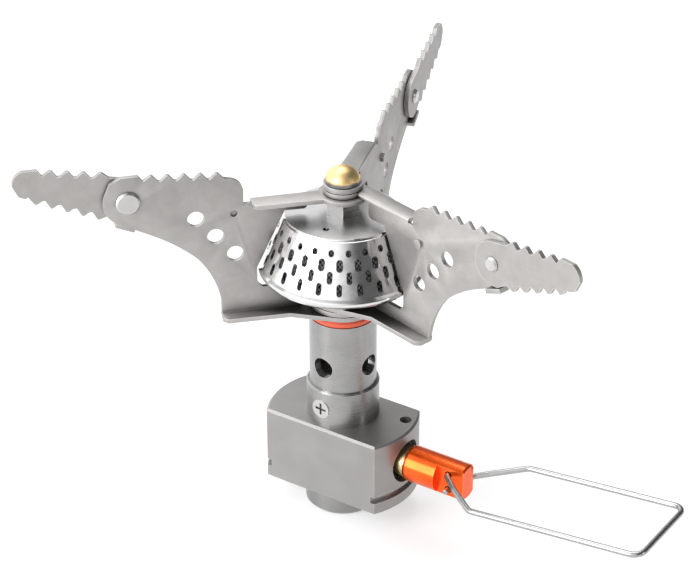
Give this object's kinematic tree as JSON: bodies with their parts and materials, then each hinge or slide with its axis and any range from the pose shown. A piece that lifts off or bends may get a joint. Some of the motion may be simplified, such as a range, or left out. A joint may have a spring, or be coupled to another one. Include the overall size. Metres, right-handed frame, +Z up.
{
  "type": "camping stove",
  "caption": "Canister-top gas stove: valve block and mixing tube under a perforated burner, with toothed folding pot supports and a wire-handled control knob",
  "frame": {"origin": "on the stem axis at the mouth of the canister connector", "axes": "+Z up along the stem; +X along the valve spindle, out through the control knob; +Y completes the right-handed frame, and the block's two flats face +Y and -Y"},
  "size_m": [0.1292, 0.1134, 0.0871],
  "materials": {
    "connector_alloy": "satin machined",
    "seal_rubber": "matt",
    "brass": "machined, light gold",
    "sintered_brass": "porous",
    "block_alloy": "matt grey anodised, bright chamfers",
    "dark_screw": "blackened",
    "black_gland": "black anodised",
    "orange_anodised": "glossy orange anodised",
    "handle_steel": "polished stainless wire",
    "tube_alloy": "fine turned satin",
    "bright_screw": "bright zinc",
    "red_washer": "semi-matt orange-red",
    "burner_steel": "polished stainless sheet",
    "screen_steel": "woven wire screen",
    "post_steel": "machined stainless",
    "titanium_plate": "fine matt titanium sheet",
    "rivet_steel": "satin flat head"
  },
  "bodies": {
    "stem": {"canister_connector": "connector_alloy", "connector_seal": "seal_rubber", "opener_pin": "brass", "inlet_filter": "sintered_brass", "valve_block": "block_alloy", "block_grub_screw": "dark_screw", "gas_jet": "brass", "gland_nut": "black_gland", "bearing_ring": "brass", "mixing_tube": "tube_alloy", "collar_screw": "bright_screw", "hub_washer": "red_washer", "burner_base": "burner_steel", "base_bridge": "burner_steel", "burner_cap": "burner_steel", "flame_screen": "screen_steel", "hex_post": "post_steel", "top_washer": "post_steel", "dome_screw": "brass"},
    "spindle_slide": {"spindle_seal": "seal_rubber"},
    "control": {"valve_spindle": "brass", "control_knob": "orange_anodised", "handle_wire_ends": "handle_steel"},
    "handle": {"handle_wire": "handle_steel"},
    "back_arm": {"back_arm_plate": "titanium_plate", "back_arm_rivet": "rivet_steel"},
    "back_leaf": {"back_arm_extension": "titanium_plate"},
    "left_arm": {"left_arm_plate": "titanium_plate", "left_arm_rivet": "rivet_steel"},
    "left_leaf": {"left_arm_extension": "titanium_plate"},
    "right_arm": {"right_arm_plate": "titanium_plate", "right_arm_rivet": "rivet_steel"},
    "right_leaf": {"right_arm_extension": "titanium_plate"}
  },
  "joints": [
    {"name": "valve_lift", "type": "slide", "parent": "stem", "child": "spindle_slide", "axis": [1, 0, 0], "range_m": [0, 0.0015]},
    {"name": "valve_turn", "type": "hinge", "parent": "spindle_slide", "child": "control", "pos_m": [0.0284, 0, 0.0152], "axis": [1, 0, 0], "range_deg": [0, 720]},
    {"name": "handle_fold", "type": "hinge", "parent": "control", "child": "handle", "pos_m": [0.0284, 0, 0.0152], "axis": [0, -1, 0], "range_deg": [-88, 72], "deforming": ["handle_wire_ends"]},
    {"name": "tripod_turn", "type": "hinge", "parent": "stem", "child": "back_arm", "pos_m": [0, 0, 0.0504], "axis": [0, 0, 1], "continuous": true},
    {"name": "left_arm_fold", "type": "hinge", "parent": "back_arm", "child": "left_arm", "pos_m": [0, 0, 0.0492], "axis": [0, 0, 1], "range_deg": [-70, 0]},
    {"name": "right_arm_fold", "type": "hinge", "parent": "back_arm", "child": "right_arm", "pos_m": [0, 0, 0.0516], "axis": [0, 0, 1], "range_deg": [0, 72]},
    {"name": "back_leaf_fold", "type": "hinge", "parent": "back_arm", "child": "back_leaf", "pos_m": [-0.01238, 0.04316, 0.0784], "axis": [0.9613, 0.2756, 0], "range_deg": [0, 160]},
    {"name": "left_leaf_fold", "type": "hinge", "parent": "left_arm", "child": "left_leaf", "pos_m": [-0.03175, -0.03175, 0.0784], "axis": [-0.7071, 0.7071, 0], "range_deg": [0, 160]},
    {"name": "right_leaf_fold", "type": "hinge", "parent": "right_arm", "child": "right_leaf", "pos_m": [0.04337, -0.01162, 0.0784], "axis": [-0.2588, -0.9659, 0], "range_deg": [0, 160]}
  ],
  "couplings": [
    {"joint": "valve_lift", "follows": "valve_turn", "m_per_rad": 0.00011937}
  ]
}
